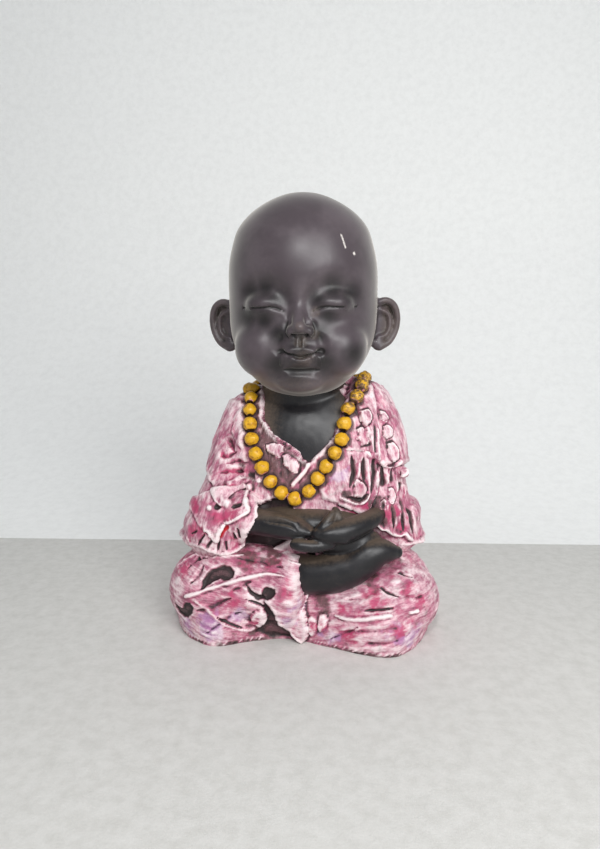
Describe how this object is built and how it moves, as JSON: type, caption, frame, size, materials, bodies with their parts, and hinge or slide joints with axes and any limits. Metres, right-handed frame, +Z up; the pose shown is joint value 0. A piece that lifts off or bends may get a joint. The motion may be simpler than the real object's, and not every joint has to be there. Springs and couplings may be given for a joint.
{
  "type": "baby monk statue",
  "caption": "Small cast resin statue of a seated baby monk with closed eyes, draped robe, crossed legs, folded hands and a bead necklace.",
  "frame": {"origin": "middle of the figure's bounds in X and Y, at the level of its flat underside", "axes": "+Z up, from the underside to the crown; the figure faces -Y; +X is the viewer's right"},
  "size_m": [0.1272, 0.087, 0.2],
  "materials": {
    "painted_resin": "satin hand-painted polyresin"
  },
  "bodies": {
    "root": {"baby_monk": "painted_resin"}
  },
  "joints": []
}
